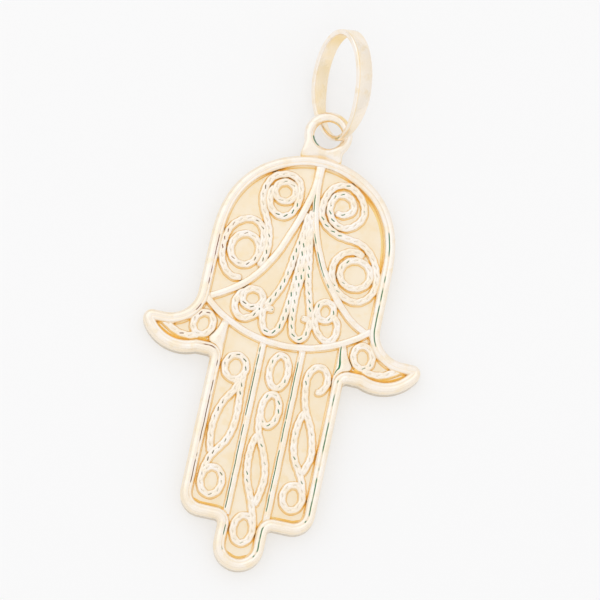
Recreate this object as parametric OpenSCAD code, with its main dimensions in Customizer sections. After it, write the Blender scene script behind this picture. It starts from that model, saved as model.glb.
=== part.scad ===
// Hamsa pendant: an open hand cut from sheet, with a rim, dividers and scrolls raised on its face,
// an eyelet soldered above the rim, and a flat oval bail that hangs in the eyelet.
// The hand lies on its flat back, face up. +Y points from the fingers to the bail, and +X to the
// viewer's right. The origin is on the back, halfway down the hand.

/* [Hand] */
// Length of the sheet from the tops of the dividers to the middle fingertip
hand_length = 25.46; // [25.2:0.02:25.8]
// Width of the palm
palm_width = 11; // [10.8:0.1:11.2]
// From the tops of the dividers to the bar below the palm
palm_length = 11.7; // [11.6:0.05:11.8]
// Depth of the round top of the palm
dome_height = 6.4; // [5.8:0.1:7]
// How far the sheet rises above the tops of the dividers
dome_rise = 0.18; // [0.14:0.02:0.22]
// Roundness of the dome's top, where 1 is a point and 2 an ellipse
dome_top = 1.9; // [1.8:0.05:2.1]
// Squareness of the dome's sides, where 2 is an ellipse
dome_side = 2.65; // [2.5:0.05:2.8]
// Width of the three fingers together
fingers_width = 7.96; // [7.9:0.02:8.1]
// From the tops of the dividers to the ends of the two outer fingers
fingers_reach = 22.7; // [22.4:0.1:23]
// Corner radius of the two outer fingers
finger_corner = 1.25; // [1:0.05:1.4]
// Width of the middle finger's tip
middle_width = 2.86; // [2.8:0.02:2.9]
// Radius in the inner corners beside the fingers
notch_radius = 0.3; // [0.2:0.05:0.35]

/* [Thumbs] */
// Distance between the two thumb tips
thumb_span = 16.8; // [16.6:0.1:17]
// From the tops of the dividers to where the sides curve out to the thumbs
thumb_start = 9.5; // [9.3:0.1:9.6]
// Radius of the curve from the side to the thumb
thumb_sweep = 1.77; // [1.7:0.01:1.8]
// Radius of the thumb's round underside
thumb_belly = 2.65; // [2.6:0.05:2.7]
// Radius of the thumb's tip
thumb_tip = 0.45; // [0.4:0.05:0.5]
// From the tops of the dividers to the edge between the thumb and the fingers
thumb_low = 13.03; // [13:0.01:13.1]

/* [Relief] */
// Thickness of the ground sheet
sheet = 0.8; // [0.7:0.05:0.9]
// Width of the rim
rim_width = 0.7; // [0.66:0.02:0.74]
// How far the rim stands out past the edge of the sheet
rim_out = 0.08; // [0.06:0.02:0.1]
// Height of the rim above the ground
rim_height = 0.5; // [0.46:0.02:0.6]
// Width of the plain dividing bars
bar_width = 0.46; // [0.42:0.02:0.5]
// Height of the dividing bars above the ground
bar_height = 0.38; // [0.36:0.02:0.42]
// Width of the scroll wires
wire_width = 0.48; // [0.44:0.02:0.5]
// Height of the scroll wires above the ground
wire_height = 0.32; // [0.3:0.02:0.34]
// Solder that fills the corners where wires meet
solder = 0.05; // [0.04:0.01:0.08]
// Distance between the middle lines of the two finger dividers
divider_gap = 2.4; // [2.3:0.05:2.5]
// How far the finger dividers stand to the right of the middle
divider_shift = 0.08; // [0:0.02:0.1]
// Radius of the curved bar below the palm
crossbar_radius = 7.4; // [7.2:0.1:7.6]
// Bevel round the edge of the back
back_bevel = 0.1; // [0.05:0.05:0.15]

/* [Eyelet] */
// Radius of the eyelet, to the middle of its wire
eyelet_radius = 1.16; // [1.15:0.01:1.17]
// Thickness of the eyelet's wire
eyelet_wire = 0.62; // [0.58:0.02:0.62]
// Height of the eyelet's middle above the back
eyelet_height = 1.15; // [1.15:0.01:1.17]
// How far the eyelet's centre stands above the tops of the dividers
eyelet_rise = 1.68; // [1.66:0.02:1.7]
// How far the eyelet stands to the right of the middle
eyelet_shift = 0.06; // [0.04:0.02:0.08]
// Width of the soldered foot on the rim
foot_width = 2.5; // [2.2:0.1:2.6]

/* [Bail] */
// Width of the oval bail
bail_width = 4.74; // [4.72:0.01:4.76]
// Length of the oval bail
bail_length = 6.8; // [6.78:0.01:6.82]
// Thickness of the bail's strip
bail_wall = 0.34; // [0.28:0.02:0.34]
// Width of the strip in the upper half of the bail
bail_wide = 1.1; // [1:0.02:1.1]
// Width of the strip inside the eyelet
bail_narrow = 0.38; // [0.36:0.02:0.4]
// Turn of the bail about its own length
bail_turn = -54; // [-54.5:0.5:-53.5]
// Slope of the bail up from the eyelet
bail_slope = 21; // [20.5:0.5:21]
// Lean of the bail to the left
bail_lean = 5; // [4.5:0.5:5]

/* [Hidden] */

GOLD = [0.94, 0.82, 0.58];
PALE_GOLD = [0.97, 0.88, 0.7];

// Place of the tops of the dividers, from the origin on the back
top_y = (hand_length - dome_rise) / 2;
half_palm = palm_width / 2;
half_fingers = fingers_width / 2;
half_middle = middle_width / 2;
// How far the rim's inner edge lies inside the edge of the sheet
rim_in = rim_width - rim_out;

// Centre of the bail, from the tops of the dividers and the back
bail_at = [0.195, 4.56, 2.42];
bail_steps = 96;
taper_steps = 8;

// Steps on a curve between two listed points, on a quarter circle and on a ring
curve_steps = 2;
arc_steps = 5;
ring_steps = 16;
// Steps of the rim: lowest and highest, counted from the ground as shares of the rim's height, and
// how far each is drawn in on both sides, as a share of the rim's width
RIM_STEPS = [
    [(back_bevel - sheet) / rim_height, 0.5, 0],
    [0.3, 0.8, 0.12],
    [0.6, 1, 0.26]
];
// How far the scrolls reach down into the ground
bury = 0.12;
// The crest of a bar: where it starts above the ground, and how far it is drawn in
crest_low = 0.7 * wire_height;
crest_in = 0.2 * bar_width;
// How far the round end of the thumb's cell lies inside the edge of the sheet
thumb_end_in = 0.42;
// Lowest and highest of the eyelet's foot, from the ground, and its reach past the wire's middle
foot_low = eyelet_height - sheet - 0.35 * eyelet_wire;
foot_high = 0.9 * rim_height;
foot_spread = 0.1;

// Cells of the relief. A row holds the middle of the cell's top edge, its half width and its depth.
PALM = 0;
LEFT = 1;
MIDDLE = 2;
RIGHT = 3;
THUMB = 4;
outer_cell_in = divider_gap / 2 + bar_width / 2;
outer_cell_out = half_fingers - rim_in;
outer_cell_x = (outer_cell_in + outer_cell_out) / 2;
outer_cell_half = (outer_cell_out - outer_cell_in) / 2;
middle_cell_half = divider_gap / 2 - bar_width / 2;
CELLS = [
    [0, 0, half_palm, palm_length],
    [-outer_cell_x, -palm_length, outer_cell_half, fingers_reach - palm_length],
    [divider_shift, -palm_length, middle_cell_half, hand_length - palm_length],
    [outer_cell_x, -palm_length, outer_cell_half, fingers_reach - palm_length],
    [half_fingers, -thumb_start, thumb_span / 2 - half_fingers, thumb_low - thumb_start]
];

// Closed rings of wire: cell, place across, place down, half width, half height, lean in degrees.
// Places and sizes are shares of the cell's half width and depth.
RINGS = [
    [PALM, -0.32, 0.197, 0.113, 0.052, 0],
    [PALM, -0.62, 0.541, 0.155, 0.083, 0],
    [PALM, 0.62, 0.553, 0.167, 0.075, 0],
    [PALM, -0.42, 0.786, 0.112, 0.049, 20],
    [PALM, 0.385, 0.776, 0.092, 0.05, 0],
    [LEFT, -0.05, 0.17, 0.66, 0.068, 0],
    [LEFT, -0.02, 0.81, 0.66, 0.077, 0],
    [MIDDLE, 0.07, 0.117, 0.57, 0.074, 0],
    [MIDDLE, 0.03, 0.291, 0.54, 0.071, 0],
    [MIDDLE, -0.06, 0.826, 0.59, 0.061, 0],
    [RIGHT, 0.12, 0.81, 0.61, 0.07, 0],
    [THUMB, 0.205, 0.53, 0.13, 0.2, 15]
];

// Scroll wires: cell, then the places that the wire runs through, across and down, as shares of
// the cell. A wire in the thumb's cell is repeated on the left thumb.
WIRES = [
    // upper left swirl and its tail
    [PALM, [[-0.44, 0.175], [-0.475, 0.225], [-0.455, 0.28], [-0.4, 0.312], [-0.31, 0.33],
        [-0.22, 0.312], [-0.165, 0.265], [-0.15, 0.195], [-0.18, 0.135], [-0.265, 0.105],
        [-0.365, 0.105], [-0.475, 0.13], [-0.535, 0.18], [-0.55, 0.24], [-0.52, 0.3],
        [-0.46, 0.355], [-0.41, 0.41], [-0.38, 0.48], [-0.385, 0.55], [-0.43, 0.62]]],
    // lower left swirl
    [PALM, [[-0.45, 0.545], [-0.44, 0.48], [-0.475, 0.415], [-0.575, 0.377], [-0.7, 0.385],
        [-0.81, 0.432], [-0.86, 0.505], [-0.86, 0.575], [-0.83, 0.63], [-0.765, 0.675],
        [-0.675, 0.697], [-0.58, 0.69]]],
    // upper right spiral, which runs on into the lower right swirl
    [PALM, [[0.265, 0.25], [0.37, 0.255], [0.455, 0.22], [0.425, 0.172], [0.34, 0.15],
        [0.25, 0.16], [0.205, 0.2], [0.205, 0.25], [0.265, 0.3], [0.37, 0.324], [0.49, 0.305],
        [0.575, 0.25], [0.565, 0.19], [0.49, 0.135], [0.37, 0.1], [0.25, 0.105], [0.165, 0.14],
        [0.12, 0.2], [0.12, 0.27], [0.19, 0.325], [0.32, 0.362], [0.46, 0.375], [0.6, 0.385],
        [0.72, 0.42], [0.81, 0.48], [0.86, 0.545], [0.86, 0.61], [0.8, 0.665], [0.69, 0.695],
        [0.56, 0.685], [0.44, 0.645], [0.37, 0.58], [0.37, 0.51], [0.45, 0.455], [0.57, 0.435],
        [0.68, 0.455]]],
    // the four wires that fan out between the two long dividers, with their end loops
    [PALM, [[-0.01, 0.28], [-0.03, 0.4], [-0.075, 0.52], [-0.09, 0.59], [-0.13, 0.68],
        [-0.18, 0.74], [-0.27, 0.82]]],
    [PALM, [[-0.005, 0.37], [0, 0.44], [0.005, 0.52], [0, 0.6], [-0.01, 0.68], [-0.025, 0.76],
        [-0.045, 0.85], [-0.08, 0.92], [-0.155, 0.95], [-0.23, 0.935], [-0.275, 0.88],
        [-0.28, 0.82]]],
    [PALM, [[-0.29, 0.825], [-0.16, 0.823]]],
    [PALM, [[0.025, 0.36], [0.04, 0.44], [0.06, 0.52], [0.05, 0.62], [0.035, 0.72],
        [0.04, 0.81], [0.055, 0.88], [0.085, 0.93], [0.15, 0.952], [0.215, 0.935],
        [0.24, 0.885], [0.245, 0.825]]],
    [PALM, [[0.25, 0.84], [0.135, 0.837]]],
    [PALM, [[0.015, 0.26], [0.035, 0.36], [0.065, 0.45], [0.1, 0.54], [0.13, 0.63],
        [0.165, 0.7], [0.205, 0.765], [0.24, 0.83]]],
    // the curls at the lower corners of the palm
    [PALM, [[-0.32, 0.79], [-0.335, 0.85], [-0.4, 0.885], [-0.5, 0.9], [-0.58, 0.87],
        [-0.6, 0.82], [-0.56, 0.775], [-0.49, 0.755]]],
    [PALM, [[0.47, 0.795], [0.53, 0.82], [0.55, 0.865], [0.53, 0.91], [0.46, 0.93],
        [0.38, 0.91], [0.315, 0.87], [0.285, 0.82], [0.295, 0.77]]],
    // left finger
    [LEFT, [[0.55, 0.17], [0.55, 0.23], [0.6, 0.33], [0.66, 0.42], [0.6, 0.5], [0.38, 0.57],
        [0, 0.625], [-0.35, 0.67], [-0.58, 0.73], [-0.68, 0.79]]],
    [LEFT, [[-0.1, 0.235], [0.25, 0.245], [0.42, 0.225]]],
    [LEFT, [[0.42, 0.24], [0.15, 0.3], [-0.3, 0.365], [-0.58, 0.44], [-0.68, 0.52],
        [-0.6, 0.6], [-0.42, 0.665]]],
    // middle finger
    [MIDDLE, [[-0.51, 0.304], [-0.48, 0.35], [-0.35, 0.4], [-0.035, 0.446], [0.3, 0.502],
        [0.525, 0.557], [0.58, 0.608], [0.47, 0.669], [0.32, 0.72]]],
    [MIDDLE, [[-0.35, 0.4], [-0.56, 0.446], [-0.63, 0.507], [-0.56, 0.567], [-0.37, 0.623],
        [-0.06, 0.674], [0.22, 0.73], [0.45, 0.785], [0.545, 0.831]]],
    // right finger
    [RIGHT, [[0.1, 0.212], [0.42, 0.21], [0.7, 0.175], [0.74, 0.13], [0.52, 0.088],
        [0.12, 0.073], [-0.3, 0.095], [-0.52, 0.145], [-0.5, 0.2], [-0.34, 0.285],
        [-0.08, 0.345], [0.25, 0.4], [0.5, 0.46], [0.68, 0.53], [0.7, 0.58], [0.55, 0.63],
        [0.38, 0.68]]],
    [RIGHT, [[-0.2, 0.325], [-0.42, 0.38], [-0.52, 0.46], [-0.45, 0.54], [-0.2, 0.61],
        [0.15, 0.66], [0.45, 0.71], [0.62, 0.76], [0.7, 0.81]]],
    // thumb
    [THUMB, [[0.22, 0.735], [0.33, 0.785], [0.48, 0.78], [0.6, 0.72], [0.7, 0.64],
        [0.79, 0.575]]]
];

// The two long dividers that part at the top of the palm, in shares of the palm
DIVIDERS = [
    [[-0.008, 0], [-0.002, 0.1], [-0.018, 0.17], [-0.06, 0.255], [-0.12, 0.35], [-0.18, 0.43],
        [-0.24, 0.505], [-0.32, 0.58], [-0.42, 0.652], [-0.55, 0.72], [-0.72, 0.78],
        [-0.9, 0.83]],
    [[0.02, 0], [0.022, 0.14], [0.055, 0.28], [0.105, 0.375], [0.17, 0.46], [0.245, 0.54],
        [0.33, 0.61], [0.44, 0.68], [0.57, 0.75], [0.72, 0.81], [0.9, 0.855]]
];

// Points of an arc about c, from angle a to angle b in degrees
function arc(c, r, a, b, n = arc_steps) =
    [for (k = [0:n]) c + r * [cos(a + (b - a) * k / n), sin(a + (b - a) * k / n)]];

// Smooth curve through listed points
function blend(a, b, c, d, t) =
    0.5 * (2 * b + (c - a) * t + (2 * a - 5 * b + 4 * c - d) * t * t
        + (3 * b - a - 3 * c + d) * t * t * t);
function curve(p) = [
    for (i = [0:len(p) - 2], k = [0:curve_steps - 1])
        blend(p[max(i - 1, 0)], p[i], p[i + 1], p[min(i + 2, len(p) - 1)], k / curve_steps),
    p[len(p) - 1]
];

// A share of a cell as a place on the hand, measured from the tops of the dividers
function spot(cell, p) =
    [CELLS[cell][0] + p[0] * CELLS[cell][2], CELLS[cell][1] - p[1] * CELLS[cell][3]];

// The round underside of the thumb: its circle reaches a little past the tip, and its centre lies
// below the start of the thumb
belly_past_tip = 0.3;
belly_drop = 1.1;
belly_at = [thumb_span / 2 + belly_past_tip - thumb_belly, -thumb_start - belly_drop];
tip_y = -thumb_start - thumb_sweep - thumb_tip;
tip_x = belly_at[0] + sqrt(pow(thumb_belly - thumb_tip, 2) - pow(tip_y - belly_at[1], 2));
belly_from = atan2(tip_y - belly_at[1], tip_x - belly_at[0]);
belly_to = asin((thumb_low + belly_at[1]) / thumb_belly) - 180;

// The right half of the sheet's outline, from its top down to the middle fingertip
dome_steps = 12;
half_outline = concat(
    [for (k = [1:dome_steps])
        [half_palm * pow(sin(90 * k / dome_steps), 2 / dome_top),
            (dome_height + dome_rise) * pow(cos(90 * k / dome_steps), 2 / dome_side)
                - dome_height]],
    arc([half_palm + thumb_sweep, -thumb_start], thumb_sweep, 180, 270),
    arc([tip_x, tip_y], thumb_tip, 90, belly_from),
    arc(belly_at, thumb_belly, belly_from, belly_to, 2 * arc_steps),
    arc([half_fingers + notch_radius, -thumb_low - notch_radius], notch_radius, 90, 180),
    arc([half_fingers - finger_corner, finger_corner - fingers_reach], finger_corner, 0, -90),
    arc([half_middle + notch_radius, -fingers_reach - notch_radius], notch_radius, 90, 180),
    arc([0, half_middle - hand_length], half_middle, 0, -90, 2 * arc_steps)
);

// The sheet's whole outline, drawn in by d
module outline(d = 0) {
    last = len(half_outline) - 1;
    offset(r = -d)
        polygon(concat(
            [[0, dome_rise]],
            half_outline,
            [for (k = [1:last]) [-half_outline[last - k][0], half_outline[last - k][1]]]
        ));
}

// The rim, drawn in on both sides by d
module rim(d) {
    difference() {
        outline(d - rim_out);
        outline(rim_in - d);
    }
}

// A band of width w along the points p, with round ends
module stroke(p, w) {
    last = len(p) - 1;
    side = [for (k = [0:last])
        let (run = p[min(k + 1, last)] - p[max(k - 1, 0)])
        w / 2 * [-run[1], run[0]] / norm(run)];
    polygon(concat(p + side, [for (k = [0:last]) p[last - k] - side[last - k]]));
    for (end = [p[0], p[last]])
        translate(end) circle(d = w, $fn = 12);
}

module oval(half_width, half_height, steps) {
    polygon([for (k = [0:steps - 1])
        [half_width * cos(360 * k / steps), half_height * sin(360 * k / steps)]]);
}

// A closed ring of wire, from a row of RINGS
module wire_ring(row) {
    half_width = row[3] * CELLS[row[0]][2];
    half_height = row[4] * CELLS[row[0]][3];
    reach = wire_width / 2;
    translate(spot(row[0], [row[1], row[2]]))
        rotate(row[5])
            difference() {
                oval(half_width + reach, half_height + reach, ring_steps);
                oval(half_width - reach, half_height - reach, ring_steps);
            }
}

// What is in the thumb's cell is repeated on the left thumb
module both_thumbs(cell) {
    children();
    if (cell == THUMB) mirror([1, 0]) children();
}

// All the scroll wires
module wires() {
    for (row = RINGS)
        both_thumbs(row[0]) wire_ring(row);
    for (row = WIRES)
        both_thumbs(row[0]) stroke(curve([for (p = row[1]) spot(row[0], p)]), wire_width);
}

// The plain bars between the cells, drawn in on both sides by d
module bars(d) {
    w = bar_width - 2 * d;
    for (row = DIVIDERS)
        stroke(curve([for (p = row) spot(PALM, p)]), w);
    translate([0, crossbar_radius - palm_length])
        difference() {
            circle(crossbar_radius + w / 2, $fn = 80);
            circle(crossbar_radius - w / 2, $fn = 80);
        }
    for (side = [-1, 1])
        translate([divider_shift + side * divider_gap / 2 - w / 2, rim_in / 2 - fingers_reach])
            square([w, fingers_reach - palm_length]);
    for (side = [0, 1])
        mirror([side, 0]) thumb_end(d);
}

// The bar that closes the right thumb's cell: it fills the room between the round underside of the
// thumb and the side of the fingers
module thumb_end(d) {
    side = half_fingers - rim_in + d;
    top = crossbar_radius - palm_length - sqrt(pow(crossbar_radius, 2) - pow(side, 2));
    difference() {
        translate([side, -thumb_low]) square([rim_width, thumb_low + top]);
        translate(belly_at) circle(thumb_belly - thumb_end_in + d, $fn = 48);
    }
}

// Clips a drawing to the hand and fills its inner corners with solder
module soldered() {
    offset(delta = -solder)
        offset(delta = solder)
            intersection() {
                outline(rim_in / 2);
                children();
            }
}

// A layer of the relief, between two heights above the ground
module layer(from, to) {
    translate([0, 0, sheet + from])
        linear_extrude(to - from) children();
}

// The eyelet's wire and the foot that joins it to the rim
module eyelet() {
    translate([eyelet_shift, eyelet_rise, eyelet_height])
        rotate_extrude($fn = 72)
            translate([eyelet_radius, 0]) circle(d = eyelet_wire, $fn = 32);
    layer(foot_low, foot_high)
        difference() {
            hull() {
                translate([eyelet_shift, eyelet_rise]) circle(eyelet_radius + foot_spread, $fn = 48);
                translate([-foot_width / 2, -rim_in / 2]) square([foot_width, rim_in / 4]);
            }
            translate([eyelet_shift, eyelet_rise]) circle(eyelet_radius, $fn = 48);
        }
}

// The ground with its bevelled back, the rim and the relief in narrowing steps, and the eyelet
module hamsa_hand() {
    color(GOLD)
        translate([0, top_y, 0]) {
            linear_extrude(sheet) outline(back_bevel - rim_out);
            for (row = RIM_STEPS)
                layer(row[0] * rim_height, row[1] * rim_height) rim(row[2] * rim_width);
            layer(-bury, wire_height)
                soldered() {
                    wires();
                    bars(0);
                }
            layer(crest_low, bar_height) soldered() bars(crest_in);
            eyelet();
        }
}

// Half the width of the bail's strip at a place along the bail
function strip_half(y) =
    let (share = min(2 * y / bail_length + 1, 1))
    (bail_narrow + (bail_wide - bail_narrow) * sin(90 * share)) / 2;

// A flat oval strip that narrows towards the eyelet
module bail() {
    half = bail_length / 2;
    places = concat([for (k = [0:taper_steps]) half * (k / taper_steps - 1)], [half]);
    last = len(places) - 1;
    color(PALE_GOLD)
        translate([bail_at[0], top_y + bail_at[1], bail_at[2]])
            rotate([0, 0, bail_lean])
                rotate([bail_slope, 0, 0])
                    rotate([0, bail_turn, 0])
                        intersection() {
                            linear_extrude(2 * bail_wide, center = true)
                                difference() {
                                    oval(bail_width / 2, half, bail_steps);
                                    oval(bail_width / 2 - bail_wall, half - bail_wall, bail_steps);
                                }
                            rotate([90, 0, 90])
                                linear_extrude(2 * bail_width, center = true)
                                    polygon(concat(
                                        [for (y = places) [y, -strip_half(y)]],
                                        [for (k = [0:last])
                                            [places[last - k], strip_half(places[last - k])]]
                                    ));
                        }
}

hamsa_hand();
bail();
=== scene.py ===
"""Hamsa pendant: an open hand of yellow gold with twisted-wire scrolls, lying on a pale floor."""

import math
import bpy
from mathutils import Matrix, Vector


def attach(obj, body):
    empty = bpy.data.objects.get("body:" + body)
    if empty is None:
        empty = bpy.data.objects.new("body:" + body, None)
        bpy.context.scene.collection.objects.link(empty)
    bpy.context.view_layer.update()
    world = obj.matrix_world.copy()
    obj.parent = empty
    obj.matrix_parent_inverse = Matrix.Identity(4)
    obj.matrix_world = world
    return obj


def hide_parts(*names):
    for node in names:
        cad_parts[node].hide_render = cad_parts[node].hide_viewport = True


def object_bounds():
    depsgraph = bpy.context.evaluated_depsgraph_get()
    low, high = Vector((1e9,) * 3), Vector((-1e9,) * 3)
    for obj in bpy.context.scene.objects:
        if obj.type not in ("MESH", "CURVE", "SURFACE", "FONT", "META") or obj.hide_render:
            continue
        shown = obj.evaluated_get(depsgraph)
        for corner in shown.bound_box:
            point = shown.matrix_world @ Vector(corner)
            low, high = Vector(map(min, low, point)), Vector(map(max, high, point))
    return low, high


bl_info = {
    "name": "Hamsa Pendant",
    "version": (1, 0, 0),
    "blender": (4, 5, 0),
    "location": "View3D > Sidebar > Hamsa",
    "description": "Builds a gold hand pendant with wire scrolls, its bail and a pale studio",
    "category": "Object",
}

import bmesh
import bpy
from bpy.props import FloatProperty, FloatVectorProperty, PointerProperty
from mathutils import Matrix, Vector, noise

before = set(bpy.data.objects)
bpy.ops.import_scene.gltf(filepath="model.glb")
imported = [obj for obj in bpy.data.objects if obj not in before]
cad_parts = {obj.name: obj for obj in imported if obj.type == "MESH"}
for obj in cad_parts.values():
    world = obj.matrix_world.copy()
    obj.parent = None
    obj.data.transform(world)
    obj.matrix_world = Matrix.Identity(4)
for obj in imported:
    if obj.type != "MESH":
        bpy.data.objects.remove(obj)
cad_low, cad_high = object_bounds()

MM = 0.001

# Distance between two stations along each form
GROUND_STEP = 0.12 * MM
RIM_STEP = 0.09 * MM
BAR_STEP = 0.09 * MM
WIRE_STEP = 0.055 * MM
EYELET_STEP = 0.05 * MM
BAIL_STEP = 0.08 * MM

# Width of the fillet of solder at the foot of what is raised
FILLET = 0.05 * MM
# How far the round end of a thumb's cell lies inside the edge of the sheet
THUMB_END_IN = 0.42 * MM
# How the gold's tone changes from patch to patch
WARMER = (0.985, 0.945, 0.86)

# Where the fine line along a bar is painted with dark reflection, as shares of the bar's length
UNLINED = (0, 0)
DIVIDER_LINES = (UNLINED, (0.05, 0.68))
FINGER_LINE = (0.02, 0.97)
THUMB_LINE = (0, 0.8)
# How strong the painted dark reflection in the fine lines is. A line is painted dark where this,
# times a noise from 0 to 1, passes a half.
RIM_LINE_STRENGTH = 1.12
BAR_LINE_STRENGTH = 1.25
CREASE_REFLECTION_STRENGTH = 1.6
# How deep the fine lines and the clefts between strands are cut, as shares of the height there
RIM_LINE_DEPTH = 0.05
BAR_LINE_DEPTH = 0.07
CLEFT_DEPTH = 0.16
# How far the rim's crest leans to the right, as a share of the rim's width
CREST_LEAN = 0.11


# Sizes and colours that a user would change


def length_property(name, description, default):
    """A length that a user would change."""
    return FloatProperty(name=name, description=description, default=default, subtype="DISTANCE")


def angle_property(name, description, degrees):
    """An angle that a user would change."""
    default = math.radians(degrees)
    return FloatProperty(name=name, description=description, default=default, subtype="ANGLE")


def colour_property(name, description, default):
    """A colour that a user would change."""
    return FloatVectorProperty(name=name, description=description, default=default, subtype="COLOR")


class HandSizes(bpy.types.PropertyGroup):
    """Outline of the hand."""

    length: length_property(
        "Length",
        "Length of the sheet from the tops of the dividers to the middle fingertip",
        25.46 * MM,
    )
    palm_width: length_property("Palm width", "Width of the palm", 11 * MM)
    palm_length: length_property(
        "Palm length", "From the tops of the dividers to the bar below the palm", 11.7 * MM
    )
    dome_height: length_property("Dome height", "Depth of the round top of the palm", 6.4 * MM)
    dome_rise: length_property(
        "Dome rise", "How far the sheet rises above the tops of the dividers", 0.18 * MM
    )
    dome_top: FloatProperty(
        name="Dome top",
        description="Roundness of the dome's top, where 1 is a point and 2 an ellipse",
        default=1.9,
    )
    dome_side: FloatProperty(
        name="Dome side",
        description="Squareness of the dome's sides, where 2 is an ellipse",
        default=2.65,
    )
    fingers_width: length_property(
        "Fingers width", "Width of the three fingers together", 7.96 * MM
    )
    fingers_reach: length_property(
        "Fingers reach",
        "From the tops of the dividers to the ends of the two outer fingers",
        22.7 * MM,
    )
    finger_corner: length_property(
        "Finger corner", "Corner radius of the two outer fingers", 1.25 * MM
    )
    middle_width: length_property("Middle width", "Width of the middle finger's tip", 2.86 * MM)
    notch_radius: length_property(
        "Notch radius", "Radius in the inner corners beside the fingers", 0.3 * MM
    )
    thumb_span: length_property("Thumb span", "Distance between the two thumb tips", 16.8 * MM)
    thumb_start: length_property(
        "Thumb start",
        "From the tops of the dividers to where the sides curve out to the thumbs",
        9.5 * MM,
    )
    thumb_sweep: length_property(
        "Thumb sweep", "Radius of the curve from the side to the thumb", 1.77 * MM
    )
    thumb_belly: length_property("Thumb belly", "Radius of the thumb's round underside", 2.65 * MM)
    thumb_tip: length_property("Thumb tip", "Radius of the thumb's tip", 0.45 * MM)
    thumb_low: length_property(
        "Thumb low",
        "From the tops of the dividers to the edge between thumb and fingers",
        13.03 * MM,
    )


class ReliefSizes(bpy.types.PropertyGroup):
    """Ground, rim, bars and scroll wires."""

    sheet: length_property("Sheet", "Thickness of the ground sheet", 0.8 * MM)
    rim_width: length_property("Rim width", "Width of the rim", 0.7 * MM)
    rim_out: length_property(
        "Rim out", "How far the rim stands out past the edge of the sheet", 0.08 * MM
    )
    rim_height: length_property("Rim height", "Height of the rim above the ground", 0.5 * MM)
    bar_width: length_property("Bar width", "Width of the dividing bars", 0.46 * MM)
    bar_height: length_property(
        "Bar height", "Height of the dividing bars above the ground", 0.38 * MM
    )
    wire_width: length_property("Wire width", "Width of the twisted scroll wires", 0.48 * MM)
    wire_height: length_property(
        "Wire height", "Height of the scroll wires above the ground", 0.32 * MM
    )
    twist: length_property("Twist", "Distance between two crossings of a wire's strands", 0.52 * MM)
    divider_gap: length_property(
        "Divider gap", "Distance between the middle lines of the two finger dividers", 2.4 * MM
    )
    divider_shift: length_property(
        "Divider shift", "How far the finger dividers stand to the right of the middle", 0.08 * MM
    )
    crossbar_radius: length_property(
        "Crossbar radius", "Radius of the curved bar below the palm", 7.4 * MM
    )
    back_bevel: length_property("Back bevel", "Bevel round the edge of the back", 0.1 * MM)


class EyeletSizes(bpy.types.PropertyGroup):
    """Eyelet above the rim and its foot."""

    radius: length_property("Radius", "Radius of the eyelet, to the middle of its wire", 1.16 * MM)
    wire: length_property("Wire", "Thickness of the eyelet's wire", 0.62 * MM)
    height: length_property("Height", "Height of the eyelet's middle above the back", 1.15 * MM)
    rise: length_property(
        "Rise", "How far the eyelet's centre stands above the tops of the dividers", 1.68 * MM
    )
    shift: length_property(
        "Shift", "How far the eyelet stands to the right of the middle", 0.06 * MM
    )
    neck: length_property("Neck", "Width of the foot at its neck", 2.4 * MM)
    foot: length_property("Foot", "Width of the foot where it is soldered to the rim", 2.6 * MM)
    lean: length_property("Lean", "How far the foot stands to the left of the eyelet", 0.15 * MM)


class BailSizes(bpy.types.PropertyGroup):
    """Oval bail and its pose."""

    width: length_property("Width", "Width of the oval", 4.74 * MM)
    length: length_property("Length", "Length of the oval", 6.8 * MM)
    wall: length_property("Wall", "Thickness of the strip", 0.34 * MM)
    wide: length_property("Wide", "Width of the strip at its top", 1.1 * MM)
    narrow: length_property("Narrow", "Width of the strip inside the eyelet", 0.38 * MM)
    turn: angle_property("Turn", "Turn of the bail about its own length", -54)
    slope: angle_property("Slope", "Slope of the bail up from the eyelet", 21)
    lean: angle_property("Lean", "Lean of the bail to the left", 5)
    place: FloatVectorProperty(
        name="Place",
        description="Centre of the bail, from the tops of the dividers and the back",
        default=(0.195 * MM, 4.56 * MM, 2.42 * MM),
        subtype="TRANSLATION",
    )


class Finish(bpy.types.PropertyGroup):
    """Colours of the metal, of the shade and reflections painted on it, and of the floor."""

    ground: colour_property("Ground", "Gold of the ground sheet", (0.945, 0.83, 0.66))
    polished: colour_property("Polished", "Gold of the raised metal", (0.98, 0.91, 0.835))
    # Gold of the painted shade at the feet of raised metal, and of the painted warm reflection
    painted_shade_and_reflection: colour_property("Deep", "Gold at the foot of what is raised", (0.96, 0.71, 0.31))
    # Colour of the painted shade in the fine lines where no dark reflection is painted
    faint_line_shade: colour_property(
        "Faint line", "Fine lines in the raised metal where they are not dark", (0.97, 0.86, 0.7)
    )
    # Colours of the dark reflection painted in the fine grooves and clefts, on the left and on the
    # right
    dark_reflection_left: colour_property("Line left", "Dark lines in the left of the hand", (0.2, 0.03, 0.02))
    dark_reflection_right: colour_property(
        "Line right", "Dark lines in the right of the hand", (0.01, 0.22, 0.1)
    )
    floor: colour_property("Floor", "Colour of the floor", (0.5, 0.499, 0.501))


class HamsaSettings(bpy.types.PropertyGroup):
    """All settings of the pendant."""

    hand: PointerProperty(type=HandSizes)
    relief: PointerProperty(type=ReliefSizes)
    eyelet: PointerProperty(type=EyeletSizes)
    bail: PointerProperty(type=BailSizes)
    finish: PointerProperty(type=Finish)


# Places of the scrolls, as shares of the cells


PALM, LEFT, MIDDLE, RIGHT, THUMB = range(5)

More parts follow.
